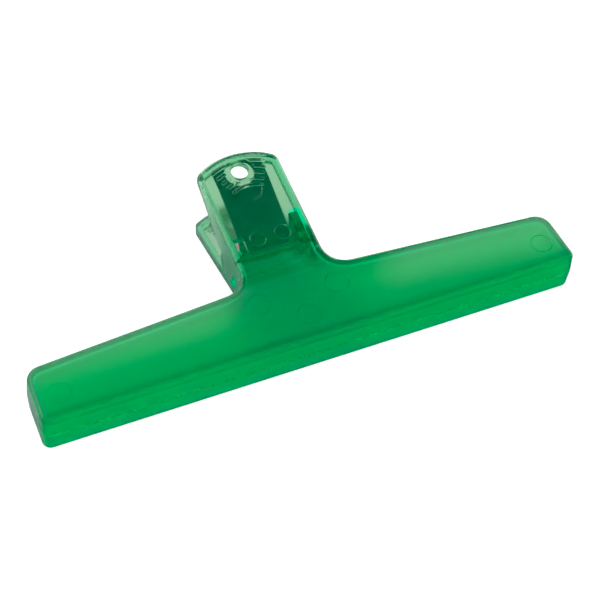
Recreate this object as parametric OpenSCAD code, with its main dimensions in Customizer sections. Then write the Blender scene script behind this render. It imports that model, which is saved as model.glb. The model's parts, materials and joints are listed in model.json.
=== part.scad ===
// Wide spring clip: two identical translucent shells that pivot on moulded pins,
// pushed shut by one flat steel spring folded between their handles.
// X runs along the jaw, Y from the jaw to the handle tips, Z up. The parting plane is Z = 0.

/* [Jaw] */
// Length of the jaw along X at the parting plane
jaw_l = 160.4; // [120:0.2:180]
// Depth of the jaw at its two ends
jaw_d = 18.9; // [16:0.1:22]
// Thickness of the closed jaw, both shells together
jaw_t = 13; // [11:0.5:16]
// How much shorter the jaw is along its back edge, at each end
end_inset = 0.75; // [0:0.05:1.5]
// Slope of the back edge, which is deeper towards the handle
back_slope = 0.0733; // [0.03:0.001:0.1]
// Radius of the front corners, seen from above
front_r = 2.75; // [2.4:0.05:4]
// Radius of the back corners, seen from above
back_r = 5; // [3:0.5:7]

/* [Teeth] */
// Pitch of the interlocking teeth on the front rim
tooth_pitch = 1.5; // [1:0.25:3]
// Number of teeth, an even number
tooth_count = 100; // [20:2:100]
// Height of a tooth from root to tip
tooth_h = 0.7; // [0.3:0.1:1]
// Gap between the two rims of the closed clip
rim_gap = 0.1; // [0.04:0.02:0.2]

/* [Handle] */
// Width of each handle
handle_w = 25.9; // [24.5:0.1:28]
// Distance from the jaw front to the middle of the handle tip
clip_d = 66.6; // [64:0.2:70]
// Angle between each handle plate and the parting plane
handle_tilt = 9.8; // [6:0.1:12]
// Radius of the tip arc
tip_r = 22; // [18:1:30]
// Radius of the two tip corners
tip_corner_r = 3; // [2.4:0.2:4]
// Radius of the inside corner between the handle and the jaw
root_r = 6.8; // [4:0.2:8]
// Diameter of the hanging hole
hang_d = 5.2; // [4:0.1:6]

/* [Walls] */
// Thickness of the outer plate
plate_t = 1.8; // [1.4:0.1:2.2]
// Thickness of the side walls
wall_t = 1.5; // [1.2:0.1:1.8]
// Radius of the rounded outer edge
edge_r = 1.3; // [0.6:0.1:1.5]
// Draft of the side walls, from rim to top
draft = 0.3; // [0.1:0.1:0.4]

/* [Hinge] */
// Distance of the hinge axis behind the jaw front
pivot_y = 37.4; // [36:0.1:38]
// Radius of the round ear on one side of each handle
ear_r = 4.4; // [4:0.1:4.6]
// Radius of the hinge pin
pin_r = 1.6; // [1.2:0.1:1.8]
// Radial clearance between the pin and its lug
pin_gap = 0.06; // [0.04:0.01:0.1]

/* [Spring] */
// Width of the spring strip
spring_w = 15.4; // [12:0.1:15.4]
// Thickness of the spring strip
spring_t = 0.6; // [0.4:0.1:0.8]
// Outer radius of the spring's fold
fold_r = 5.5; // [4.5:0.1:5.8]
// Diameter of the clearance holes near the ends of its arms
spring_hole_d = 8.7; // [7:0.1:9]

/* [Hidden] */
eps = 0.01;
half_t = jaw_t / 2;
half_l = jaw_l / 2;
half_w = handle_w / 2;
mid_y = clip_d / 2 - 0.1;
slope = tan(handle_tilt);

// Plan outline: fixed corner centres and the directions of the straight edges between them.
end_angle = atan2(end_inset, jaw_d);
back_angle = atan2(1, back_slope);
back_pt = [half_l - end_inset, jaw_d];
front_c = [half_l - front_r * (1 + sin(end_angle)) / cos(end_angle), front_r];
back_c = corner_centre(back_pt, end_angle, back_angle, back_r);
root_c = [half_w + root_r, edge_y(half_w + root_r) + root_r / sin(back_angle)];
tip_cy = clip_d - tip_r;
tip_corner_x = half_w - tip_corner_r;
tip_corner_y = tip_cy + sqrt(pow(tip_r - tip_corner_r, 2) - pow(tip_corner_x, 2));
tip_angle = atan2(tip_corner_y - tip_cy, tip_corner_x);

// Side profile: the handle plate leaves the flat jaw top along a short curve.
bend_y = 24.95;
bend_half = 1.55;
root_y = 30.4;
rim_join_y = 29.8;
// Half of the rim gap on a 1/256 mm grid, so that every cut along the rim meets the next exactly.
flat = round(rim_gap * 128) / 256;
wall_floor = -5;
skirt_h = 4.1;
lip_h = 2;

// Ear side of the skirt: a sloping rim from the ear to the tip.
ear_gap = 0.15;
arch_r = 1.35;
arch_y = 31.75;
ear_rim_y = pivot_y + ear_r - 0.4;
ear_rim_z = 1.25;
ear_side_x = -10.5;
rim_slope = 0.47;
rim_flat_y = (half_t - lip_h - slope * bend_y - ear_rim_z + rim_slope * ear_rim_y) / (rim_slope - slope);

// Hinge lug on the other side, and the window over the pin.
lug_x = 8.1;
lug_w = 2.7;
lug_r = 3.4;
pin_end_x = 8;
window_x = 9.2;
window_w = 3;
window_y = 36.4;
window_l = 5;

// Cross rib under the root of the handle.
rib_y = 32.6;
rib_t = 1.2;
rib_h = 2.2;

// Finger ridges, concentric with the tip arc.
ridge_count = 6;
ridge_first_r = 10;
ridge_pitch = 2.12;
ridge_span = 52;
ridge_w = 1.1;
ridge_h = 0.35;
ridge_root = 0.7;
hang_y = 59.9;
boss_r = 4.35;

// Spring centreline: round fold, straight run to the plate, then flat on it.
fold_y = 45.4;
knee_y = 57;
spring_fit = 0.05;
spring_end_gap = 0.4;
arm_end_y = clip_d;
fold_c_r = fold_r - spring_t / 2;

// Height of the outer plate above the parting plane at distance y behind the jaw front.
function top_z(y) =
    y <= bend_y - bend_half ? half_t
    : y >= bend_y + bend_half ? half_t + slope * (y - bend_y)
    : half_t + slope * pow(y - bend_y + bend_half, 2) / (4 * bend_half);

// Y of the straight back edge of the jaw at distance x from the middle.
function edge_y(x) = jaw_d + back_slope * (back_pt[0] - x);

// Centre of a corner of radius r between two edges with outward directions a and b.
function corner_centre(p, a, b, r) =
    let (det = sin(b - a))
    p - r * [sin(b) - sin(a), cos(a) - cos(b)] / det;

function arc(c, r, a0, a1, n) = [for (i = [0:n]) c + r * [cos(a0 + (a1 - a0) * i / n), sin(a0 + (a1 - a0) * i / n)]];

// Right half of the plan outline, moved in by d, from the front corner to the tip.
function half_outline(d) = concat(
    arc(front_c, front_r - d, -90, end_angle, 4),
    arc(back_c, back_r - d, end_angle, back_angle, 5),
    arc(root_c, -(root_r + d), back_angle, 0, 8),
    arc([tip_corner_x, tip_corner_y], tip_corner_r - d, 0, tip_angle, 4),
    [for (i = [1:5]) let (a = tip_angle + (90 - tip_angle) * i / 5)
        [(tip_r - d) * cos(a), tip_cy + (tip_r - d) * sin(a)]]
);

// A level has an inset, a height above the parting plane and a drop below the plate.
// Where drop is undef the height is used.
function level_points(level) =
    let (h = half_outline(level[0]), n = len(h))
    let (ring = concat(h, [for (i = [n - 2:-1:0]) [-h[i][0], h[i][1]]]))
    [for (p = ring) [p[0], p[1], is_undef(level[2]) ? level[1] : top_z(p[1]) - level[2]]];

// Closed solid that stacks the levels from bottom to top.
module lofted(levels) {
    rings = [for (l = levels) level_points(l)];
    n = len(rings[0]);
    half = (n + 1) / 2;
    last = (len(levels) - 1) * n;
    sides = [for (k = [0:len(levels) - 2], i = [0:n - 1], t = [0, 1])
        let (a = k * n + i, b = k * n + (i + 1) % n)
        t == 0 ? [a, a + n, b] : [b, a + n, b + n]];
    bottom = [for (i = [0:half - 2]) i == half - 2
        ? [i, i + 1, n - 1 - i]
        : [i, i + 1, n - 2 - i, n - 1 - i]];
    top = [for (f = bottom) [for (j = [len(f) - 1:-1:0]) f[j] + last]];
    polyhedron(points = [for (r = rings) each r], faces = concat(sides, bottom, top), convexity = 6);
}

module outer_body() {
    fillet_steps = 3;
    lofted(concat(
        [[0, wall_floor - eps], [0, 0]],
        [for (i = [0:fillet_steps]) let (a = 90 * i / fillet_steps)
            [draft + edge_r * (1 - cos(a)), 0, edge_r * (1 - sin(a))]]
    ));
}

module cavity() {
    lofted([[wall_t, wall_floor - 1], [wall_t + draft, 0, plate_t]]);
}

// Stands a profile drawn as [y, z] up and extrudes it from x0 to x1.
module along_x(x0, x1) {
    translate([x0, 0, 0])
        rotate([90, 0, 90])
            linear_extrude(height = x1 - x0)
                children();
}

// Everything under the toothed front rim and the flat rims of the jaw.
module jaw_rim_cut() {
    reach = half_l + 1;
    tooth_run = tooth_pitch * tooth_count / 2;
    teeth = [for (i = [0:tooth_count - 1]) let (x = -tooth_run + i * tooth_pitch)
        each [[x + tooth_pitch / 4, flat + tooth_h / 2], [x + 3 * tooth_pitch / 4, flat - tooth_h / 2]]];
    front = wall_t + draft + 0.4;
    translate([0, front, 0])
        rotate([90, 0, 0])
            linear_extrude(height = front + 1)
                polygon(concat(
                    [[-reach, wall_floor - 2], [-reach, flat], [-tooth_run, flat]],
                    teeth,
                    [[tooth_run, flat], [reach, flat], [reach, wall_floor - 2]]));
    along_x(-reach, reach)
        polygon([
            [front - 0.3, wall_floor - 2],
            [front - 0.3, flat],
            [rim_join_y + 0.2, flat],
            [rim_join_y + 0.2, wall_floor - 2]]);
}

// Everything under the rim on the side that carries the ear.
module ear_rim_profile() {
    difference() {
        union() {
            polygon([
                [rim_join_y, wall_floor - 2],
                [rim_join_y, flat],
                [ear_rim_y, flat],
                [ear_rim_y, ear_rim_z],
                [rim_flat_y, top_z(rim_flat_y) - lip_h],
                [clip_d + 3, top_z(clip_d + 3) - lip_h],
                [clip_d + 3, wall_floor - 2]]);
            translate([arch_y, 0])
                circle(r = arch_r, $fn = 24);
        }
        translate([pivot_y, 0])
            circle(r = ear_r, $fn = 48);
    }
}

// Everything under the rim on the other side and at the tip.
module plain_rim_profile() {
    polygon([
        [rim_join_y, wall_floor - 2],
        [rim_join_y, flat],
        [root_y, flat],
        [root_y + 0.9, top_z(root_y + 0.9) - skirt_h - 0.1],
        [root_y + 1.6, top_z(root_y + 1.6) - skirt_h],
        [clip_d + 3, top_z(clip_d + 3) - skirt_h],
        [clip_d + 3, wall_floor - 2]]);
    translate([pivot_y, 0])
        circle(r = ear_r + ear_gap, $fn = 48);
}

// Places children on the outer face of the handle plate at y, Z outwards.
module on_plate(y) {
    translate([0, y, top_z(y)])
        rotate([handle_tilt, 0, 0])
            children();
}

module hinge_lug() {
    difference() {
        along_x(lug_x, lug_x + lug_w)
            union() {
                polygon([[32.8, top_z(32.8) - 1], [43.4, top_z(43.4) - 1], [40.7, 0.6], [34.1, 0.6]]);
                translate([pivot_y, 0])
                    circle(r = lug_r, $fn = 64);
            }
        translate([lug_x - 1, pivot_y, 0])
            rotate([0, 90, 0])
                cylinder(h = lug_w + 2, r = pin_r + pin_gap, $fn = 64);
    }
}

module hinge_pin() {
    translate([-half_w + wall_t / 2, pivot_y, 0])
        rotate([0, 90, 0])
            cylinder(h = half_w - wall_t / 2 - pin_end_x, r = pin_r, $fn = 64);
}

module cross_rib() {
    reach = half_w - wall_t / 2;
    along_x(-reach, reach)
        polygon([
            [rib_y, top_z(rib_y) - plate_t + 0.5],
            [rib_y, top_z(rib_y) - plate_t - rib_h],
            [rib_y + rib_t, top_z(rib_y + rib_t) - plate_t - rib_h],
            [rib_y + rib_t, top_z(rib_y + rib_t) - plate_t + 0.5]]);
}

// Raised arcs that stop short of the flat ring around the hanging hole.
module finger_ridges() {
    difference() {
        on_plate(tip_cy)
            for (i = [0:ridge_count - 1])
                rotate([0, 0, 90 - ridge_span / 2])
                    rotate_extrude(angle = ridge_span, $fn = 60)
                        translate([ridge_first_r + i * ridge_pitch, 0])
                            polygon([[-ridge_w / 2, -ridge_root], [-ridge_w / 2, 0], [-ridge_w / 4, ridge_h],
                                [ridge_w / 4, ridge_h], [ridge_w / 2, 0], [ridge_w / 2, -ridge_root]]);
        on_plate(hang_y)
            translate([0, 0, -1])
                cylinder(h = 3, r = boss_r, $fn = 24);
    }
}

module window_cut() {
    translate([-window_x - window_w / 2, window_y - window_l / 2, top_z(window_y) - plate_t - 1])
        cube([window_w, window_l, plate_t + 2]);
}

// The walls and plates of one moulding, held to the stated jaw length.
module shell_walls() {
    resize([jaw_l, 0, 0])
        difference() {
            union() {
                difference() {
                    outer_body();
                    cavity();
                    jaw_rim_cut();
                    along_x(-half_w - root_r - 9, ear_side_x)
                        ear_rim_profile();
                    along_x(ear_side_x, half_w + root_r + 9)
                        plain_rim_profile();
                }
                cross_rib();
                finger_ridges();
            }
            window_cut();
        }
}

// One moulding, drawn as the upper one: ear and pin at -X, lug at +X.
module half_shell() {
    difference() {
        union() {
            shell_walls();
            hinge_lug();
            hinge_pin();
        }
        on_plate(hang_y)
            translate([0, 0, -plate_t - 2])
                cylinder(h = plate_t + 4, d = hang_d, $fn = 64);
    }
}

module upper_shell() {
    color([0.0, 0.62, 0.3, 0.75])
        translate([0, -mid_y, 0])
            half_shell();
}

module lower_shell() {
    color([0.0, 0.62, 0.3, 0.75])
        translate([0, -mid_y, 0])
            rotate([0, 180, 0])
                half_shell();
}

// Centreline of the spring's upper arm and fold, from the tip to the middle of the fold.
function arm_z(y) = top_z(y) - (plate_t + spring_fit + spring_t / 2) / cos(handle_tilt);
function upper_path() =
    let (a = atan2(arm_z(knee_y), knee_y - fold_y) + acos(fold_c_r / norm([knee_y - fold_y, arm_z(knee_y)])))
    concat(
        [[arm_end_y, arm_z(arm_end_y)], [knee_y, arm_z(knee_y)]],
        [for (i = [0:16]) let (b = a + (180 - a) * i / 16) [fold_y + fold_c_r * cos(b), fold_c_r * sin(b)]]
    );

// Outline of a strip of thickness t along a path.
function path_normal(p, i) =
    let (q = p[min(i + 1, len(p) - 1)] - p[max(i - 1, 0)])
    [-q[1], q[0]] / norm(q);
function strip(p, t) = concat(
    [for (i = [0:len(p) - 1]) p[i] + path_normal(p, i) * t / 2],
    [for (i = [len(p) - 1:-1:0]) p[i] - path_normal(p, i) * t / 2]
);

module leaf_spring() {
    upper = upper_path();
    path = concat(upper, [for (i = [len(upper) - 2:-1:0]) [upper[i][0], -upper[i][1]]]);
    color("silver")
        translate([0, -mid_y, 0])
            difference() {
                intersection() {
                    along_x(-spring_w / 2, spring_w / 2)
                        polygon(strip(path, spring_t));
                    translate([0, tip_cy, -clip_d / 2])
                        cylinder(h = clip_d, r = tip_r - wall_t - draft - spring_end_gap, $fn = 96);
                }
                for (side = [0, 180])
                    rotate([0, side, 0])
                        on_plate(hang_y)
                            translate([0, 0, -plate_t - 3])
                                cylinder(h = plate_t + 4, d = spring_hole_d, $fn = 64);
            }
}

upper_shell();
lower_shell();
leaf_spring();
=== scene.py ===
import json
import math

import bmesh
import bpy
import numpy as np
from mathutils import Matrix, Vector


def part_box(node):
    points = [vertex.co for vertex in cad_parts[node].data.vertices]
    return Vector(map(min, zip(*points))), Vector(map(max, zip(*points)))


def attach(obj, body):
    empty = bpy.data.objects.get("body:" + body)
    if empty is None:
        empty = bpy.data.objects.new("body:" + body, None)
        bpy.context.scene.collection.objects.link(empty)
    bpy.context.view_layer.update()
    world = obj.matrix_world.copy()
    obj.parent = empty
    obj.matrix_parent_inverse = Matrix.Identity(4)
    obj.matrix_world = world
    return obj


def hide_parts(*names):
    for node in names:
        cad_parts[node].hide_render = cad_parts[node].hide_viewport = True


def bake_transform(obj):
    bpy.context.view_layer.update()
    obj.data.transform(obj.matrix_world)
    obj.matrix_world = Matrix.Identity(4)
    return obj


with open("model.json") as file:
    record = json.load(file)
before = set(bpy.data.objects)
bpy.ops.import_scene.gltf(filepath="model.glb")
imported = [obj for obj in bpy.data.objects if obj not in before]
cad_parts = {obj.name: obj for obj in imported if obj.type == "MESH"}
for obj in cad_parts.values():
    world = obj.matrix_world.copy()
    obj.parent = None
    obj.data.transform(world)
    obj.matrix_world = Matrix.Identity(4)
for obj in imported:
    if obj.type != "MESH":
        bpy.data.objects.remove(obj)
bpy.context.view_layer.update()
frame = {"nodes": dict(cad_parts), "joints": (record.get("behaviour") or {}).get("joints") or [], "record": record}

MM = 0.001

# ---------------------------------------------------------------- dimensions, mm
# Y runs from the jaw front (0) to the handle tip; the frame's own Y is smaller by MID_Y.
HINGE = frame["joints"][0]
PIVOT_Y = 37.4
MID_Y = PIVOT_Y - HINGE["pos_m"][1] / MM

# Plan outline: jaw, root of the handle, handle and tip.
HALF_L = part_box("upper_shell")[1].x / MM
JAW_D = 18.9
END_INSET = 0.75
BACK_SLOPE = 0.0733
FRONT_R = 2.75
BACK_R = 5.0
ROOT_R = 6.8
HALF_W = 12.95
CLIP_D = 66.6
TIP_R = 22.0
TIP_CORNER_R = 3.0

# Height, and the handle plate that rises from the bend at the angle of its hanging hole.
HALF_T = 6.5
BEND_Y = 24.95
BEND_HALF = 1.55
HANG_AXIS = next(m["axis"] for m in frame["record"]["mounts"] if m["name"] == "hanging_hole_upper")
TILT = math.asin(-HANG_AXIS[1])
SLOPE = math.tan(TILT)
PLATE_N = (0, -math.sin(TILT), math.cos(TILT))

# Walls of the moulding.
PLATE_T = 1.8
WALL_T = 1.5
DRAFT = 0.3
EDGE_R = 1.3
EDGE_STEPS = 8
INNER_R = 1.1
INNER_STEPS = 6
FLOOR_Z = -5.0

# Rim: teeth along the jaw's front; a plain skirt on one side of the handle, the ear and a lip on
# the other.
RIM = 0.05078125
TOOTH_PITCH = 1.5
TOOTH_COUNT = 100
TOOTH_H = 0.7
TOOTH_BEVEL = 0.22
RIM_JOIN_Y = 29.8
ROOT_Y = 30.4
ROOT_STEPS = (0.9, 1.6)
SKIRT_H = 4.1
SKIRT_ROUND = 0.1
LIP_H = 2.0
RIM_SLOPE = 0.47
ARCH_Y = 31.75
ARCH_R = 1.35
EAR_R = 4.4
EAR_GAP = 0.15
EAR_STEP_IN = 0.4
EAR_STEP_Z = 1.25
EAR_SIDE_X = -10.5

# Cutters reach this far past a face, and these are their outer limits.
PAST = 0.4
CUT_LOW = FLOOR_Z - 2
CUT_END = CLIP_D + 3
CUT_SIDE = HALF_W + ROOT_R + 9

# Rib under the plate, hinge lug, hinge pin, and the window over the pin.
RIB_Y = 32.6
RIB_T = 1.2
RIB_H = 2.2
RIB_TAPER = 0.1
LUG_X = (8.1, 10.8)
LUG_FOOT_Y = (32.8, 43.4)
LUG_NOSE_Y = (34.1, 40.7)
LUG_LOW_Z = 0.6
KNUCKLE_R = 3.4
PIN_R = 1.6
PIN_GAP = 0.06
PIN_END_X = -8.0
PIN_NOSE = 0.35
WINDOW_X = (-10.7, -7.7)
WINDOW_Y = (33.9, 38.9)
WINDOW_Z = (4, 11)

# Hanging hole with its flat boss, and the finger ridges round it.
HANG_Y = 59.9
HANG_R = 2.6
HANG_EDGE = 0.15
BOSS_R = 4.2
RIDGE_COUNT = 6
RIDGE_FIRST_R = 10.0
RIDGE_PITCH = 2.12
RIDGE_HALF_SPAN = 26.0
RIDGE_HALF_W = 0.62
RIDGE_H = 0.5
RIDGE_ROOT = 0.7
RIDGE_STEPS = 48
RIDGE_CROWN_STEPS = 7
RIDGE_END_ANGLES = (0.4, 0.75, 1.1, 1.4)

# Ejector marks as (x, y, radius), and the half width and depth of the sink line over each.
HANDLE_MARKS = [(0, 53.2, 3.85), (-3.8, 37.15, 2.3), (3.8, 37.15, 2.3)]
JAW_MARKS = [(-11.8, 16.6, 3.4), (11.8, 16.6, 3.4), (0, 8.9, 3.4), (-72.6, 8.2, 3.1), (72.6, 8.2, 3.1)]
MARK_DEPTH = 0.1
HANDLE_LINE = (0.2, 0.13)
JAW_LINE = (0.14, 0.14)

# Folded strip.
SPRING_W = 15.4
SPRING_T = 0.6
SPRING_GAP = 0.05
SPRING_HOLE_R = 4.35
SPRING_EDGE = 0.09
SPRING_TIP_GAP = 0.4
SPRING_TIP_R = TIP_R - WALL_T - DRAFT - SPRING_TIP_GAP
SPRING_COLUMNS = 12
FLAT_STEPS = 8
FOLD_STEPS = 32
FOLD_Y = 45.4
FOLD_R = 5.5
KNEE_Y = 57.0

END_A = math.atan2(END_INSET, JAW_D)
BACK_A = math.atan2(1, BACK_SLOPE)


def edge_y(x):
    """Y of the jaw's rear edge."""
    return JAW_D + BACK_SLOPE * (HALF_L - END_INSET - x)


def top_z(y):
    """Height of the outer face: flat jaw, round bend, sloping handle plate."""
    if y <= BEND_Y - BEND_HALF:
        return HALF_T
    if y >= BEND_Y + BEND_HALF:
        return HALF_T + SLOPE * (y - BEND_Y)
    return HALF_T + SLOPE * (y - BEND_Y + BEND_HALF) ** 2 / (4 * BEND_HALF)


def corner_centre(p, a, b, r):
    """Centre of a corner of radius r between lines through p whose outward normals point at a and b."""
    det = math.sin(b - a)
    return (
        p[0] - r * (math.sin(b) - math.sin(a)) / det,
        p[1] - r * (math.cos(a) - math.cos(b)) / det,
    )


FRONT_C = (HALF_L - FRONT_R * (1 + math.sin(END_A)) / math.cos(END_A), FRONT_R)
BACK_C = corner_centre((HALF_L - END_INSET, JAW_D), END_A, BACK_A, BACK_R)
ROOT_C = (HALF_W + ROOT_R, edge_y(HALF_W + ROOT_R) + ROOT_R / math.sin(BACK_A))
TIP_CY = CLIP_D - TIP_R
TIP_CX = HALF_W - TIP_CORNER_R
TIP_CCY = TIP_CY + math.sqrt((TIP_R - TIP_CORNER_R) ** 2 - TIP_CX**2)
TIP_A = math.atan2(TIP_CCY - TIP_CY, TIP_CX)


def arc(c, r, a0, a1, n):
    """Points along an arc about c from angle a0 to a1."""
    angles = [a0 + (a1 - a0) * i / n for i in range(n + 1)]
    return [(c[0] + r * math.cos(a), c[1] + r * math.sin(a)) for a in angles]


def half_outline(d):
    """Right half of the plan outline, moved in by d, from the front corner to the tip."""
    return (
        arc(FRONT_C, FRONT_R - d, -math.pi / 2, END_A, 12)
        + arc(BACK_C, BACK_R - d, END_A, BACK_A, 14)
        + arc(ROOT_C, -(ROOT_R + d), BACK_A, 0, 26)
        + arc((TIP_CX, TIP_CCY), TIP_CORNER_R - d, 0, TIP_A, 12)
        + arc((0, TIP_CY), TIP_R - d, TIP_A, math.pi / 2, 26)[1:]
    )


# ---------------------------------------------------------------- mesh tools
def frame_point(p):
    """A point in mm, from the jaw front, as a point of the frame in metres."""
    return (p[0] * MM, (p[1] - MID_Y) * MM, p[2] * MM)


def mesh_object(name, verts, faces):
    """A mesh object from points in mm, with its faces turned outwards."""
    mesh = bpy.data.meshes.new(name)
    mesh.from_pydata([frame_point(v) for v in verts], [], faces)
    bm = bmesh.new()
    bm.from_mesh(mesh)
    bmesh.ops.remove_doubles(bm, verts=bm.verts, dist=1e-7)
    bmesh.ops.recalc_face_normals(bm, faces=bm.faces)
    bm.to_mesh(mesh)
    bm.free()
    obj = bpy.data.objects.new(name, mesh)
    bpy.context.scene.collection.objects.link(obj)
    return obj


def loft(name, levels):
    """Closed solid stacked from levels of (inset, height) or (inset, None, drop below the plate)."""
    verts, n = [], 0
    for level in levels:
        half = half_outline(level[0])
        ring = half + [(-x, y) for x, y in reversed(half[:-1])]
        n = len(ring)
        for x, y in ring:
            verts.append((x, y, level[1] if len(level) == 2 else top_z(y) - level[2]))
    faces = []
    for k in range(len(levels) - 1):
        for i in range(n):
            a, b = k * n + i, k * n + (i + 1) % n
            faces.append((a, b, b + n, a + n))
    half_n = (n + 1) // 2
    last = (len(levels) - 1) * n
    for i in range(half_n - 1):
        cap = [i, i + 1, n - 2 - i, n - 1 - i]
        if i == half_n - 2:
            cap = [i, i + 1, n - 1 - i]
        faces.append(tuple(cap))
        faces.append(tuple(c + last for c in reversed(cap)))
    return mesh_object(name, verts, faces)


def prism(name, outline, a, b, axis="x"):
    """Extrudes an outline of (y, z) along X, or of (x, z) along Y, from a to b."""
    n = len(outline)
    if axis == "x":
        verts = [(a, p[0], p[1]) for p in outline] + [(b, p[0], p[1]) for p in outline]
    else:
        verts = [(p[0], a, p[1]) for p in outline] + [(p[0], b, p[1]) for p in outline]
    faces = [tuple(range(n)), tuple(reversed(range(n, 2 * n)))]
    faces += [(i, i + n, (i + 1) % n + n, (i + 1) % n) for i in range(n)]
    return mesh_object(name, verts, faces)


def turned(name, profile, centre, direction, n=64):
    """A solid of revolution from a profile of (radius, height): closed on its axis, or a closed ring."""
    z = Vector(direction).normalized()
    x = z.orthogonal().normalized()
    y = z.cross(x)
    c = Vector(centre)
    verts, rings = [], []
    for r, h in profile:
        if r < 1e-9:
            rings.append([len(verts)] * n)
            verts.append(tuple(c + z * h))
        else:
            rings.append(list(range(len(verts), len(verts) + n)))
            for i in range(n):
                a = 2 * math.pi * i / n
                verts.append(tuple(c + z * h + (x * math.cos(a) + y * math.sin(a)) * r))
    faces = []
    if profile[0][0] > 0:
        rings.append(rings[0])
    for lower, upper in zip(rings, rings[1:]):
        for i in range(n):
            j = (i + 1) % n
            face = []
            for v in (lower[i], lower[j], upper[j], upper[i]):
                if v not in face:
                    face.append(v)
            if len(face) > 2:
                faces.append(tuple(face))
    return mesh_object(name, verts, faces)


def post(name, radius, low, high, centre, direction, n=64):
    """A plain cylinder from low to high along its direction."""
    return turned(name, [(0, low), (radius, low), (radius, high), (0, high)], centre, direction, n)


def evaluated_mesh(obj):
    """New mesh of the object with its modifiers applied."""
    bpy.context.view_layer.update()
    dg = bpy.context.evaluated_depsgraph_get()
    return bpy.data.meshes.new_from_object(obj.evaluated_get(dg), depsgraph=dg)


def combine(obj, other, operation):
    """Boolean of obj with other, kept as obj's mesh; other is removed."""
    mod = obj.modifiers.new("combine", "BOOLEAN")
    mod.operation = operation
    mod.object = other
    mod.solver = "MANIFOLD"
    mesh = evaluated_mesh(obj)
    if len(mesh.polygons) == 0:
        mod.solver = "EXACT"
        mesh = evaluated_mesh(obj)
    obj.modifiers.remove(mod)
    obj.data = mesh
    bpy.data.objects.remove(other)


def plate_point(y, x=0.0, up=0.0, along=0.0):
    """Point over the handle plate: up is square to the plate, along runs up its slope."""
    return (
        x,
        y - math.sin(TILT) * up + math.cos(TILT) * along,
        top_z(y) + math.cos(TILT) * up + math.sin(TILT) * along,
    )


def smooth_by_area(obj, angle=28.0):
    """Smooth shading with sharp edges kept and large flats held flat."""
    obj.data.polygons.foreach_set("use_smooth", [True] * len(obj.data.polygons))
    obj.data.set_sharp_from_angle(angle=math.radians(angle))
    mod = obj.modifiers.new("flats", "WEIGHTED_NORMAL")
    mod.keep_sharp = True
    mod.weight = 80


# ---------------------------------------------------------------- one moulding
def hollow_body():
    """The moulding as a plain shell: outer form with a rounded edge, less the cavity."""
    outer = [(0, FLOOR_Z), (0, 0.0)]
    for i in range(EDGE_STEPS + 1):
        a = math.pi / 2 * i / EDGE_STEPS
        outer.append((DRAFT + EDGE_R * (1 - math.cos(a)), None, EDGE_R * (1 - math.sin(a))))
    inner = [(WALL_T, FLOOR_Z - 1)]
    for i in range(INNER_STEPS + 1):
        a = math.pi / 2 * i / INNER_STEPS
        drop = PLATE_T + INNER_R * (1 - math.sin(a))
        inner.append((WALL_T + DRAFT + INNER_R * (1 - math.cos(a)), None, drop))
    body = loft("upper_moulding", outer)
    combine(body, loft("cavity", inner), "DIFFERENCE")
    return body


def jaw_cutters():
    """Cutters under the jaw's rim: the teeth, the slanted flanks of the teeth, the ends and back."""
    reach = HALF_L + 1
    run = TOOTH_PITCH * TOOTH_COUNT / 2
    front = WALL_T + DRAFT + PAST
    teeth = [(-reach, CUT_LOW), (-reach, RIM), (-run, RIM)]
    for i in range(TOOTH_COUNT):
        x = -run + i * TOOTH_PITCH
        teeth.append((x + TOOTH_PITCH / 4, RIM + TOOTH_H / 2))
        teeth.append((x + 3 * TOOTH_PITCH / 4, RIM - TOOTH_H / 2))
    teeth += [(run, RIM), (reach, RIM), (reach, CUT_LOW)]
    flanks = prism("cut_flanks", teeth, -TOOTH_BEVEL, TOOTH_BEVEL, "y")
    for v in flanks.data.vertices:
        if v.co.y < -MID_Y * MM:
            v.co.z += 2 * TOOTH_BEVEL * MM
    first, last = front - 0.3, RIM_JOIN_Y + 0.2
    rest = [(first, CUT_LOW), (first, RIM), (last, RIM), (last, CUT_LOW)]
    return [prism("cut_front", teeth, -1, front, "y"), flanks, prism("cut_jaw", rest, -reach, reach)]


def ear_side_cutter():
    """Cutter under the ear side of the handle: a small arch, the round ear, then a rising lip."""
    ear_y = PIVOT_Y + EAR_R - EAR_STEP_IN
    flat_y = (HALF_T - LIP_H - SLOPE * BEND_Y - EAR_STEP_Z + RIM_SLOPE * ear_y) / (RIM_SLOPE - SLOPE)
    outline = [
        (RIM_JOIN_Y, CUT_LOW),
        (RIM_JOIN_Y, RIM),
        (ear_y, RIM),
        (ear_y, EAR_STEP_Z),
        (flat_y, top_z(flat_y) - LIP_H),
        (CUT_END, top_z(CUT_END) - LIP_H),
        (CUT_END, CUT_LOW),
    ]
    cutter = prism("cut_ear", outline, -CUT_SIDE, EAR_SIDE_X)
    middle_x, arch_half, ear_half = -17.6, 8, 12
    arch = post("arch", ARCH_R, -arch_half, arch_half, (middle_x, ARCH_Y, 0), (1, 0, 0))
    combine(cutter, arch, "UNION")
    ear = post("ear", EAR_R, -ear_half, ear_half, (middle_x, PIVOT_Y, 0), (1, 0, 0), 96)
    combine(cutter, ear, "DIFFERENCE")
    return cutter


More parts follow.
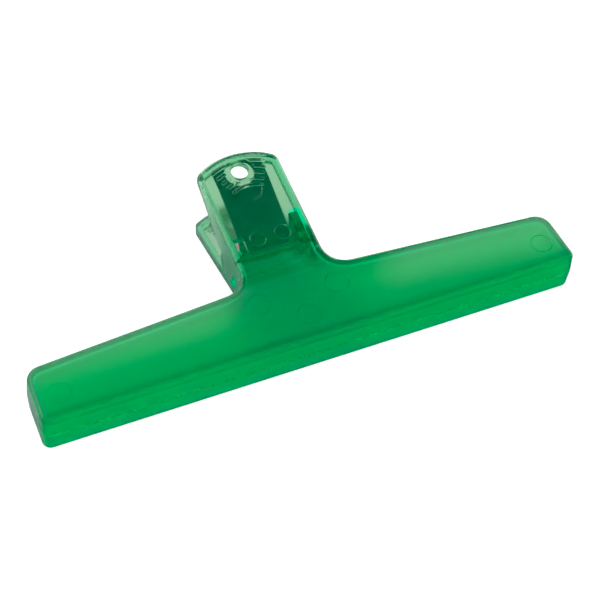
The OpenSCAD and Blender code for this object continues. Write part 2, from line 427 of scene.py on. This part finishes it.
def plain_side_cutter():
    """Cutter under the rest of the handle: a plain skirt with room for the other moulding's ear."""
    rise_y, skirt_y = (ROOT_Y + step for step in ROOT_STEPS)
    outline = [
        (RIM_JOIN_Y, CUT_LOW),
        (RIM_JOIN_Y, RIM),
        (ROOT_Y, RIM),
        (rise_y, top_z(rise_y) - SKIRT_H - SKIRT_ROUND),
        (skirt_y, top_z(skirt_y) - SKIRT_H),
        (CUT_END, top_z(CUT_END) - SKIRT_H),
        (CUT_END, CUT_LOW),
    ]
    cutter = prism("cut_plain", outline, EAR_SIDE_X, CUT_SIDE)
    half = (CUT_SIDE - EAR_SIDE_X) / 2
    room = post("room", EAR_R + EAR_GAP, -half, half, (EAR_SIDE_X + half, PIVOT_Y, 0), (1, 0, 0), 96)
    combine(cutter, room, "UNION")
    return cutter


def cross_rib():
    """Low rib across the underside of the handle plate."""
    front, back = top_z(RIB_Y) - PLATE_T, top_z(RIB_Y + RIB_T) - PLATE_T
    outline = [
        (RIB_Y, front + 0.5),
        (RIB_Y + RIB_TAPER, front - RIB_H),
        (RIB_Y + RIB_T - RIB_TAPER, back - RIB_H),
        (RIB_Y + RIB_T, back + 0.5),
    ]
    half = HALF_W - WALL_T / 2
    return prism("rib", outline, -half, half)


def finger_ridge(radius):
    """One raised arc with rounded crown and ends on the handle plate, clear of the hole's boss."""
    verts, faces, rings = [], [], []
    end = math.radians(RIDGE_HALF_SPAN)
    cap = RIDGE_HALF_W / radius
    run = [(-end + 2 * end * i / RIDGE_STEPS, 1.0) for i in range(RIDGE_STEPS + 1)]
    head = [(-end - cap * math.sin(a), math.cos(a)) for a in reversed(RIDGE_END_ANGLES)]
    tail = [(end + cap * math.sin(a), math.cos(a)) for a in RIDGE_END_ANGLES]
    for angle, share in head + run + tail:
        w = RIDGE_HALF_W * share
        section = [(-w, -RIDGE_ROOT)]
        for k in range(RIDGE_CROWN_STEPS + 1):
            turn = math.pi * k / RIDGE_CROWN_STEPS
            section.append((-w * math.cos(turn), RIDGE_H * share * math.sin(turn)))
        section.append((w, -RIDGE_ROOT))
        rings.append(list(range(len(verts), len(verts) + len(section))))
        for dr, up in section:
            r = radius + dr
            verts.append(plate_point(TIP_CY, r * math.sin(angle), up, r * math.cos(angle)))
    m = len(rings[0])
    for a, b in zip(rings, rings[1:]):
        faces += [(a[i], a[(i + 1) % m], b[(i + 1) % m], b[i]) for i in range(m)]
    faces += [tuple(rings[0]), tuple(reversed(rings[-1]))]
    bar = mesh_object("ridge", verts, faces)
    profile = [(0, -1), (BOSS_R, -1), (BOSS_R + 0.25, 2), (0, 2)]
    combine(bar, turned("boss", profile, plate_point(HANG_Y), PLATE_N, 48), "DIFFERENCE")
    return bar


def hinge_lug():
    """Lug under the plate, with a round knuckle and the bore for the other moulding's pin."""
    outline = [(y, top_z(y) - 1) for y in LUG_FOOT_Y]
    outline += [(y, LUG_LOW_Z) for y in reversed(LUG_NOSE_Y)]
    lug = prism("lug", outline, *LUG_X)
    face = (LUG_X[0], PIVOT_Y, 0)
    combine(lug, post("knuckle", KNUCKLE_R, 0, LUG_X[1] - LUG_X[0], face, (1, 0, 0)), "UNION")
    combine(lug, post("bore", PIN_R + PIN_GAP, -1, 4, face, (1, 0, 0)), "DIFFERENCE")
    return lug


def hinge_pin():
    """Pin from the ear side's wall inwards, with a chamfered nose."""
    start = WALL_T / 2 - HALF_W
    profile = [
        (0, start),
        (PIN_R, start),
        (PIN_R, PIN_END_X - PIN_NOSE),
        (PIN_R - PIN_NOSE, PIN_END_X),
        (0, PIN_END_X),
    ]
    return turned("pin", profile, (0, PIVOT_Y, 0), (1, 0, 0))


def sink_line(centre, direction, radius, half, depth):
    """Cutter for a fine round line on the outer face, where the plate sank around an ejector pin."""
    over = 0.06
    reach = half * (1 + over / depth)
    profile = [(radius - reach, over), (radius, -depth), (radius + reach, over)]
    return turned("sink_line", profile, centre, direction)


def add_ejector_marks(shell, marks, normal, line):
    """Cuts shallow rounds into the inner face, and a sink line over each on the outer face."""
    low, top = -PLATE_T - PAST, -PLATE_T + MARK_DEPTH
    for x, y, r in marks:
        centre = plate_point(y, x)
        combine(shell, post("mark", r, low, top, centre, normal, 48), "DIFFERENCE")
        combine(shell, sink_line(centre, normal, r, *line), "DIFFERENCE")


def build_moulding():
    """The upper moulding with all its features, as one closed mesh."""
    shell = hollow_body()
    for cutter in jaw_cutters() + [ear_side_cutter(), plain_side_cutter()]:
        combine(shell, cutter, "DIFFERENCE")
    combine(shell, cross_rib(), "UNION")
    for i in range(RIDGE_COUNT):
        combine(shell, finger_ridge(RIDGE_FIRST_R + i * RIDGE_PITCH), "UNION")
    combine(shell, hinge_lug(), "UNION")
    combine(shell, hinge_pin(), "UNION")
    add_ejector_marks(shell, HANDLE_MARKS, PLATE_N, HANDLE_LINE)
    add_ejector_marks(shell, JAW_MARKS, (0, 0, 1), JAW_LINE)
    (front, back), (low, high) = WINDOW_Y, WINDOW_Z
    outline = [(front, low), (back, low), (back, high), (front, high)]
    combine(shell, prism("window", outline, *WINDOW_X), "DIFFERENCE")
    mouth_r = HANG_R + HANG_EDGE
    profile = [(0, -4), (HANG_R, -4), (HANG_R, -HANG_EDGE), (mouth_r, 0), (mouth_r, 1), (0, 1)]
    combine(shell, turned("hole", profile, plate_point(HANG_Y), PLATE_N), "DIFFERENCE")
    return shell


# ---------------------------------------------------------------- spring
def strip_path():
    """Middle line (y, z) of the strip: upper plate, knee, fold, and the same below, mirrored."""
    r = FOLD_R - SPRING_T / 2

    def arm_z(y):
        return top_z(y) - (PLATE_T + SPRING_GAP + SPRING_T / 2) / math.cos(TILT)

    flat_y = [CLIP_D - (CLIP_D - KNEE_Y) * i / FLAT_STEPS for i in range(FLAT_STEPS + 1)]
    upper = [(y, arm_z(y)) for y in flat_y]
    knee_z = arm_z(KNEE_Y)
    rise = (KNEE_Y - FOLD_Y, knee_z)
    start = math.atan2(rise[1], rise[0]) + math.acos(r / math.hypot(*rise))
    touch_y, touch_z = FOLD_Y + r * math.cos(start), r * math.sin(start)
    for i in range(1, FLAT_STEPS):
        y = KNEE_Y + (touch_y - KNEE_Y) * i / FLAT_STEPS
        upper.append((y, knee_z + (touch_z - knee_z) * i / FLAT_STEPS))
    upper += arc((FOLD_Y, 0), r, start, math.pi, FOLD_STEPS)
    return upper + [(y, -z) for y, z in reversed(upper[:-1])]


def build_spring():
    """The folded strip, cut to the round of the tip, with its clearance holes and eased edges."""
    path = strip_path()
    normals = []
    for i in range(len(path)):
        a, b = path[max(i - 1, 0)], path[min(i + 1, len(path) - 1)]
        d = math.hypot(b[0] - a[0], b[1] - a[1])
        normals.append((-(b[1] - a[1]) / d, (b[0] - a[0]) / d))
    half = SPRING_T / 2
    verts, faces = [], []
    columns = [-SPRING_W / 2 + SPRING_W * i / SPRING_COLUMNS for i in range(SPRING_COLUMNS + 1)]
    for side in (1, -1):
        for (y, z), (ny, nz) in zip(path, normals):
            verts += [(x, y + side * half * ny, z + side * half * nz) for x in columns]
    m, n = len(columns), len(path)

    def at(side, i, j):
        return side * m * n + i * m + j

    for i in range(n - 1):
        for j in range(m - 1):
            faces.append((at(0, i, j), at(0, i, j + 1), at(0, i + 1, j + 1), at(0, i + 1, j)))
            faces.append((at(1, i, j), at(1, i + 1, j), at(1, i + 1, j + 1), at(1, i, j + 1)))
        for j in (0, m - 1):
            faces.append((at(0, i, j), at(0, i + 1, j), at(1, i + 1, j), at(1, i, j)))
    for j in range(m - 1):
        for i in (0, n - 1):
            faces.append((at(0, i, j), at(0, i, j + 1), at(1, i, j + 1), at(1, i, j)))
    strip = mesh_object("spring_strip", verts, faces)
    keep = post("keep", SPRING_TIP_R, -20, 20, (0, TIP_CY, 0), (0, 0, 1), 192)
    combine(strip, keep, "INTERSECT")
    _, hole_y, hole_z = plate_point(HANG_Y)
    for sign in (1, -1):
        normal = (0, PLATE_N[1], sign * PLATE_N[2])
        hole = post("hole", SPRING_HOLE_R, -5, 1, (0, hole_y, sign * hole_z), normal)
        combine(strip, hole, "DIFFERENCE")
    bevel = strip.modifiers.new("edges", "BEVEL")
    bevel.width = SPRING_EDGE * MM
    bevel.segments = 2
    bevel.limit_method = "ANGLE"
    bevel.angle_limit = math.radians(50)
    mesh = evaluated_mesh(strip)
    strip.modifiers.clear()
    strip.data = mesh
    return strip


# ---------------------------------------------------------------- node tools
def node_material(name):
    """New material: its node tree with an empty Principled shader, the shader and the output."""
    mat = bpy.data.materials.new(name)
    mat.use_nodes = True
    tree = mat.node_tree
    tree.nodes.clear()
    out = tree.nodes.new("ShaderNodeOutputMaterial")
    shader = tree.nodes.new("ShaderNodeBsdfPrincipled")
    tree.links.new(shader.outputs["BSDF"], out.inputs["Surface"])
    return mat, tree, shader, out


def feed(tree, socket, value):
    """Links a node's output to the socket, or sets the socket to a plain value."""
    if isinstance(value, bpy.types.NodeSocket):
        tree.links.new(value, socket)
    else:
        socket.default_value = value


def add(tree, kind, **values):
    """New node with its named inputs fed and its named properties set."""
    node = tree.nodes.new(kind)
    for key, value in values.items():
        if key in node.inputs:
            feed(tree, node.inputs[key], value)
        else:
            setattr(node, key, value)
    return node


def set_inputs(tree, node, values):
    """Feeds a node's inputs from a table of name and value."""
    for key, value in values.items():
        feed(tree, node.inputs[key], value)


def maths(tree, operation, *values):
    """Output of a Math node over node outputs and plain numbers."""
    node = add(tree, "ShaderNodeMath", operation=operation)
    for socket, value in zip(node.inputs, values):
        feed(tree, socket, value)
    return node.outputs["Value"]


def ramp(tree, value, edges, levels=(0.0, 1.0), kind="LINEAR"):
    """The value mapped from between the edges to between the levels, and held outside."""
    node = add(tree, "ShaderNodeMapRange", interpolation_type=kind)
    table = {"Value": value, "From Min": edges[0], "From Max": edges[1]}
    set_inputs(tree, node, {**table, "To Min": levels[0], "To Max": levels[1]})
    return node.outputs["Result"]


def zone(tree, *steps):
    """1 where every (value, start, stop) has passed stop, 0 where one has not reached start."""
    share = None
    for value, start, stop in steps:
        step = ramp(tree, value, (start, stop), kind="SMOOTHSTEP")
        share = step if share is None else maths(tree, "MULTIPLY", share, step)
    return share


def mix(tree, share, first, second, kind="RGBA"):
    """Mix of two colours or two numbers, each a plain value or a node's output."""
    first_at, second_at, result_at = {"RGBA": (6, 7, 2), "FLOAT": (2, 3, 0)}[kind]
    node = add(tree, "ShaderNodeMix", data_type=kind)
    for index, value in ((0, share), (first_at, first), (second_at, second)):
        feed(tree, node.inputs[index], value)
    return node.outputs[result_at]


# ---------------------------------------------------------------- materials
# Tints of the plastic, by the part of the moulding; the darker middle of the jaw is painted shade and the hinge's
# brighter green is painted light, not the plastic's own colour.
JAW_TINT = (0.0, 0.70, 0.275, 1)
# Painted shade: the jaw's middle, under and in front of the handle's root, is tinted darker than its wings.
SHADED_MIDDLE_TINT = (0.0, 0.63, 0.28, 1)
FRONT_TINT = (0.0, 0.90, 0.36, 1)
HANDLE_TINT = (0.353, 0.54, 0.345, 1)
EAR_SIDE_TINT = (0.40, 0.74, 0.46, 1)
LUG_SIDE_TINT = (0.20, 0.66, 0.36, 1)
# Painted light: the hinge's parts under the plate take this brighter green, as if more light reached into the
# hinge.
HINGE_PAINTED_LIGHT = (0.03, 0.84, 0.40, 1)
LUG_TINT = (0.03, 0.86, 0.44, 1)
# Absorption per metre is one less the colour, times the density.
MELT_COLOUR = (0.0, 0.77, 0.43, 1)
MELT_DENSITY = 130.0
MELT_DRIFT = 0.004

# Roughness of jaw and handle, what the clouds in the melt add, and what the walls add.
JAW_HAZE = 0.26
HANDLE_HAZE = 0.12
CLOUD_HAZE = 0.08
FRONT_HAZE = 0.45
WALL_HAZE = 0.2

# Edges of the zones in metres, each as (start, full). Heights are above the parting plane,
# less the rise of the handle plate.
JAW_TO_HANDLE_Y = (-0.008, 0.014)
# Edges of the painted shade across X, where the jaw's darker middle gives way to the wings.
SHADED_MIDDLE_TO_WING_X = (0.008, 0.026)
BEHIND_FRONT_Y = (-0.0300, -0.0285)
OFF_RIM_Z = (0.0005, 0.0011)
PLATE_Z = (0.0042, 0.0049)
LUG_SIDE_X = (0.0090, 0.0115)
HINGE_X = (0.0116, 0.0112)
HINGE_FRONT_Y = (-0.0025, -0.0015)
HINGE_REAR_Y = (0.0085, 0.0075)
UNDER_PLATE_Z = (0.0048, 0.0042)
LUG_INNER_X = (0.0079, 0.0083)
LUG_OUTER_X = (0.0125, 0.0110)
LUG_FRONT_Y = (-0.0020, 0.0010)
LUG_REAR_Y = (0.0103, 0.0100)
OVER_LUG_Z = (0.0054, 0.0058)


def plastic_material():
    """Tinted clear plastic under a glossy skin; tint and haze vary with the place on the moulding."""
    mat, tree, shader, out = node_material("green_plastic")
    spot = add(tree, "ShaderNodeTexCoord").outputs["Object"]
    split = add(tree, "ShaderNodeSeparateXYZ", Vector=spot)
    x, y, z = (split.outputs[axis] for axis in "XYZ")
    flow = add(tree, "ShaderNodeMapping", Vector=spot, Scale=(0.35, 1.0, 1.0))
    flowing = flow.outputs["Vector"]
    clouds = add(tree, "ShaderNodeTexNoise", Vector=flowing, Scale=90.0, Detail=3.0, Roughness=0.5)
    clouds = clouds.outputs["Fac"]

    # The tint is deeper in the thick jaw than in the handle, and drifts with the clouds in the melt.
    drifting_y = maths(tree, "MULTIPLY_ADD", clouds, MELT_DRIFT, y)
    on_handle = ramp(tree, drifting_y, JAW_TO_HANDLE_Y)
    across = maths(tree, "ABSOLUTE", x)
    tall = maths(tree, "ABSOLUTE", z)
    past_bend = maths(tree, "SUBTRACT", y, (BEND_Y - MID_Y) * MM)
    height = maths(tree, "MULTIPLY_ADD", maths(tree, "MAXIMUM", past_bend, 0.0), -SLOPE, tall)
    # The lower moulding is the upper one turned over, so its lug lies towards -X.
    lugwards = maths(tree, "MULTIPLY", x, maths(tree, "SIGN", z))
    on_plate = zone(tree, (height, *PLATE_Z))
    off_shaded_middle = zone(tree, (across, *SHADED_MIDDLE_TO_WING_X))
    behind_front = zone(tree, (y, *BEHIND_FRONT_Y))
    lug_side = zone(tree, (lugwards, *LUG_SIDE_X))
    # Zone of the painted light on the hinge's parts under the plate.
    lit_hinge = zone(
        tree,
        (across, *HINGE_X),
        (y, *HINGE_FRONT_Y),
        (y, *HINGE_REAR_Y),
        (height, *UNDER_PLATE_Z),
    )
    over_lug = zone(
        tree,
        (lugwards, *LUG_INNER_X),
        (lugwards, *LUG_OUTER_X),
        (y, *LUG_FRONT_Y),
        (y, *LUG_REAR_Y),
        (height, *OVER_LUG_Z),
    )
    # Painted shade: the jaw's plate is darker in its middle, under the handle's root.
    shaded_jaw_plate = mix(tree, off_shaded_middle, SHADED_MIDDLE_TINT, JAW_TINT)
    jaw_walls = mix(tree, behind_front, FRONT_TINT, JAW_TINT)
    handle_walls = mix(tree, lug_side, EAR_SIDE_TINT, LUG_SIDE_TINT)
    plates = mix(tree, on_handle, shaded_jaw_plate, HANDLE_TINT)
    walls = mix(tree, on_handle, jaw_walls, handle_walls)
    tint = mix(tree, on_plate, walls, plates)
    # Painted light: the hinge's parts under the plate are brightened with their own tint.
    tint = mix(tree, lit_hinge, tint, HINGE_PAINTED_LIGHT)
    tint = mix(tree, over_lug, tint, LUG_TINT)

    # The front walls are finely textured, so the hollow behind them only glows through; the teeth
    # along the rim stay clear. The handle's walls are a little duller than its plate.
    haze = ramp(tree, on_handle, (0.0, 1.0), (JAW_HAZE, HANDLE_HAZE))
    haze = maths(tree, "MULTIPLY_ADD", clouds, CLOUD_HAZE, haze)
    textured = zone(tree, (y, *reversed(BEHIND_FRONT_Y)), (tall, *OFF_RIM_Z))
    haze = maths(tree, "ADD", haze, ramp(tree, textured, (0.0, 1.0), (0.0, FRONT_HAZE)))
    dull_walls = ramp(tree, on_plate, (0.0, 1.0), (WALL_HAZE, 0.0))
    haze = maths(tree, "MULTIPLY_ADD", dull_walls, on_handle, haze)

    ripple = add(tree, "ShaderNodeTexNoise", Vector=spot, Scale=260.0, Detail=2.0)
    bump = add(tree, "ShaderNodeBump", Strength=0.05, Distance=0.0002, Height=ripple.outputs["Fac"])
    looks = {
        "Base Color": tint,
        "Roughness": haze,
        "Normal": bump.outputs["Normal"],
        "IOR": 1.49,
        "Transmission Weight": 0.98,
        "Specular IOR Level": 0.15,
        "Coat Weight": 1.0,
        "Coat Roughness": 0.05,
        "Coat IOR": 1.45,
    }
    set_inputs(tree, shader, looks)
    volume = add(tree, "ShaderNodeVolumeAbsorption", Color=MELT_COLOUR, Density=MELT_DENSITY)
    tree.links.new(volume.outputs["Volume"], out.inputs["Volume"])
    return mat


def steel_material():
    """Rolled strip: fine lines along it, and a faint warm stain."""
    mat, tree, shader, _ = node_material("spring_steel")
    spot = add(tree, "ShaderNodeTexCoord").outputs["Object"]
    grain = add(tree, "ShaderNodeMapping", Vector=spot, Scale=(1.0, 0.03, 0.03))
    lines = add(tree, "ShaderNodeTexNoise", Vector=grain.outputs["Vector"], Scale=5200.0, Detail=3.0)
    lines = lines.outputs["Fac"]
    stain = add(tree, "ShaderNodeTexNoise", Vector=spot, Scale=160.0, Detail=4.0)
    colour = add(tree, "ShaderNodeValToRGB", Fac=stain.outputs["Fac"])
    colour.color_ramp.elements[0].color = (0.33, 0.28, 0.21, 1)
    colour.color_ramp.elements[1].color = (0.50, 0.46, 0.38, 1)
    bump = add(tree, "ShaderNodeBump", Strength=0.15, Distance=0.00005, Height=lines)
    looks = {
        "Base Color": colour.outputs["Color"],
        "Roughness": ramp(tree, lines, (0.0, 1.0), (0.28, 0.48)),
        "Normal": bump.outputs["Normal"],
        "Metallic": 1.0,
    }
    set_inputs(tree, shader, looks)
    return mat


# ---------------------------------------------------------------- pieces
plastic = plastic_material()
steel = steel_material()

upper = build_moulding()
upper.name = "upper_moulding"
lower = upper.copy()
lower.data = upper.data.copy()
lower.name = "lower_moulding"
bpy.context.scene.collection.objects.link(lower)
lower.data.transform(Matrix.Rotation(math.pi, 4, "Y"))
for piece, node, body in ((upper, "upper_shell", "upper"), (lower, "lower_shell", "lower")):
    piece.data.materials.clear()
    piece.data.materials.append(plastic)
    smooth_by_area(piece)
    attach(piece, body)
    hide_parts(node)

spring = build_spring()
spring.data.materials.clear()
spring.data.materials.append(steel)
smooth_by_area(spring, 35.0)
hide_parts("leaf_spring")
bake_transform(spring)

# ---------------------------------------------------------------- stage and light
# The surroundings as the plastic mirrors them: one wall behind the clip, up to a soft edge given
# as height over distance, dimmer at its foot, with a dark gap behind the middle of the jaw.
WALL_EDGE = (1.36, 1.42)
WALL_LIGHT = 1.8
WALL_SQUEEZE = (0.3, 1.0, 0.0)
WALL_FRONT_Y = (-0.3, 0.2)
WALL_FOOT = (0.4, 1.1)
WALL_FOOT_SHARE = 0.5
GAP_BEARING = 0.55
GAP_WIDTH = (0.05, 0.12)
CEILING_LIGHT = 0.02
CARD_LOW_Z = (0.3, 0.42)
CARD_HIGH_Z = (0.75, 0.6)
CARD_Y = (-0.15, -0.4)
CARD_LIGHT = 0.8
# The surroundings as they are seen directly and through the plastic.
TENT_LIGHT = 1.0
TABLE_LIGHT = 0.8
TABLE_SHADE = (0.4, 0.4, 0.4, 1)
FRONT_SHADE = (0.04, 0.04, 0.04, 1)
FRONT_SHADE_Y = (-0.1, 0.2)
FLOOR_HALF = 4.0
FLOOR_GAP = 0.00005
KEY_AT = (-0.75, -0.15, 0.75)
KEY_SIZE = 0.5
KEY_POWER = 1.0


def mirrored_share(tree):
    """1 for a ray mirrored by the plastic or the steel, 0 for one seen directly or through the plastic."""
    path = add(tree, "ShaderNodeLightPath").outputs
    return maths(tree, "MULTIPLY", path["Is Glossy Ray"], path["Is Reflection Ray"])


def studio_world():
    """An even white tent; mirrored, it is the wall, its gap and a low card in front, in the dark."""
    world = bpy.data.worlds.new("studio")
    world.use_nodes = True
    tree = world.node_tree
    ray = add(tree, "ShaderNodeTexCoord").outputs["Generated"]
    split = add(tree, "ShaderNodeSeparateXYZ", Vector=ray)
    x, y, z = (split.outputs[axis] for axis in "XYZ")
    squeeze = add(tree, "ShaderNodeVectorMath", operation="MULTIPLY")
    feed(tree, squeeze.inputs[0], ray)
    feed(tree, squeeze.inputs[1], WALL_SQUEEZE)
    reach = add(tree, "ShaderNodeVectorMath", operation="LENGTH")
    feed(tree, reach.inputs[0], squeeze.outputs["Vector"])
    steep = maths(tree, "DIVIDE", z, reach.outputs["Value"])
    wall = ramp(tree, steep, WALL_EDGE, (WALL_LIGHT, CEILING_LIGHT), "SMOOTHSTEP")
    foot = ramp(tree, steep, WALL_FOOT, (WALL_FOOT_SHARE, 1.0), "SMOOTHSTEP")
    wall = maths(tree, "MULTIPLY", wall, foot)
    wall = maths(tree, "MULTIPLY", wall, zone(tree, (y, *WALL_FRONT_Y)))
    off_gap = maths(tree, "SUBTRACT", maths(tree, "DIVIDE", x, y), GAP_BEARING)
    off_gap = maths(tree, "ABSOLUTE", off_gap)
    wall = maths(tree, "MULTIPLY", wall, zone(tree, (off_gap, *GAP_WIDTH)))
    # The card gives the front edges their thin light line.
    card = zone(tree, (z, *CARD_LOW_Z), (z, *CARD_HIGH_Z), (y, *CARD_Y))
    around = maths(tree, "MULTIPLY_ADD", card, CARD_LIGHT, wall)
    light = mix(tree, mirrored_share(tree), TENT_LIGHT, around, "FLOAT")
    set_inputs(tree, tree.nodes["Background"], {"Color": (1, 1, 1, 1), "Strength": light})
    bpy.context.scene.world = world


def floor_material():
    """Pale matt floor, lit evenly as on a light table, and dim where the plastic mirrors it."""
    mat, tree, shader, _ = node_material("pale_floor")
    mirrored = mirrored_share(tree)
    incoming = add(tree, "ShaderNodeNewGeometry").outputs["Incoming"]
    split = add(tree, "ShaderNodeSeparateXYZ", Vector=incoming)
    in_front = zone(tree, (split.outputs["Y"], *FRONT_SHADE_Y))
    dark_front = maths(tree, "MULTIPLY", mirrored, in_front)
    looks = {
        "Base Color": mix(tree, dark_front, TABLE_SHADE, FRONT_SHADE),
        "Roughness": 0.9,
        "Specular IOR Level": 0.0,
        "Emission Color": (1, 1, 1, 1),
        "Emission Strength": mix(tree, mirrored, TABLE_LIGHT, 0.0, "FLOAT"),
    }
    set_inputs(tree, shader, looks)
    return mat


def resting_plane():
    """Unit normal and lowest height of the plane that the closed clip stands on, tilted about X."""
    co = np.array([v.co for v in frame["nodes"]["lower_shell"].data.vertices])
    low, high = 0.0, math.radians(20)
    for _ in range(30):
        a = (low + high) / 2
        n = np.array([0.0, math.sin(a), math.cos(a)])
        if co[(co @ n).argmin()][1] > 0:
            low = a
        else:
            high = a
    return Vector(n), float((co @ n).min())


def add_floor():
    """Floor square just under the jaw's and the lower handle's lowest edges."""
    normal, height = resting_plane()
    side = Vector((1, 0, 0))
    ahead = normal.cross(side)
    middle = normal * (height - FLOOR_GAP)
    corners = [
        side * sx * FLOOR_HALF + ahead * sy * FLOOR_HALF + middle
        for sx, sy in ((-1, -1), (1, -1), (1, 1), (-1, 1))
    ]
    mesh = bpy.data.meshes.new("floor")
    mesh.from_pydata(corners, [], [(0, 1, 2, 3)])
    mesh.materials.append(floor_material())
    floor = bpy.data.objects.new("floor", mesh)
    bpy.context.scene.collection.objects.link(floor)


def add_key_light():
    """Soft square panel at the upper left, aimed at the clip and not mirrored in it."""
    data = bpy.data.lights.new("key", "AREA")
    data.shape = "RECTANGLE"
    data.size = data.size_y = KEY_SIZE
    data.energy = KEY_POWER
    key = bpy.data.objects.new("key", data)
    bpy.context.scene.collection.objects.link(key)
    key.location = KEY_AT
    key.visible_glossy = False
    key.rotation_mode = "QUATERNION"
    key.rotation_quaternion = (-Vector(KEY_AT)).to_track_quat("-Z", "Y")


# ---------------------------------------------------------------- camera and picture
# Azimuth, elevation and roll in degrees; place in mm, measured as the clip is.
CAMERA_ANGLES = (-28.376, 50.826, 5.731)
CAMERA_AT = (-143.8, -250.6, 375.6)
CAMERA_LENS = 103.36
CAMERA_SENSOR = 36
RED_FLOOR = 0.045


def add_camera():
    """Camera at the photo's angle."""
    azimuth, elevation, roll = (math.radians(a) for a in CAMERA_ANGLES)
    flat = math.cos(elevation)
    back = Vector((math.sin(azimuth) * flat, -math.cos(azimuth) * flat, math.sin(elevation)))
    right = Vector((math.cos(azimuth), math.sin(azimuth), 0))
    up = back.cross(right)
    axes = (
        right * math.cos(roll) + up * math.sin(roll),
        up * math.cos(roll) - right * math.sin(roll),
        back,
    )
    data = bpy.data.cameras.new("camera")
    data.lens = CAMERA_LENS
    data.sensor_width = CAMERA_SENSOR
    data.clip_start = 0.01
    camera = bpy.data.objects.new("camera", data)
    bpy.context.scene.collection.objects.link(camera)
    pose = Matrix.Identity(4)
    for i, axis in enumerate(axes):
        pose.col[i][:3] = axis
    pose.translation = frame_point(CAMERA_AT)
    camera.matrix_world = pose
    bpy.context.scene.camera = camera


def set_picture():
    """Plain view transform, with the last red of the deep greens cut off as a camera does."""
    scene = bpy.context.scene
    scene.view_settings.view_transform = "Standard"
    scene.view_settings.use_curve_mapping = True
    curves = scene.view_settings.curve_mapping
    curves.extend = "HORIZONTAL"
    curves.curves[0].points[0].location = (RED_FLOOR, 0.0)
    curves.update()
    scene.cycles.use_denoising = True
    scene.cycles.max_bounces = 24
    scene.cycles.transmission_bounces = 24
    scene.cycles.glossy_bounces = 8
    scene.cycles.diffuse_bounces = 4
    scene.cycles.sample_clamp_indirect = 10


add_floor()
studio_world()
add_key_light()
add_camera()
set_picture()

bpy.context.view_layer.update()
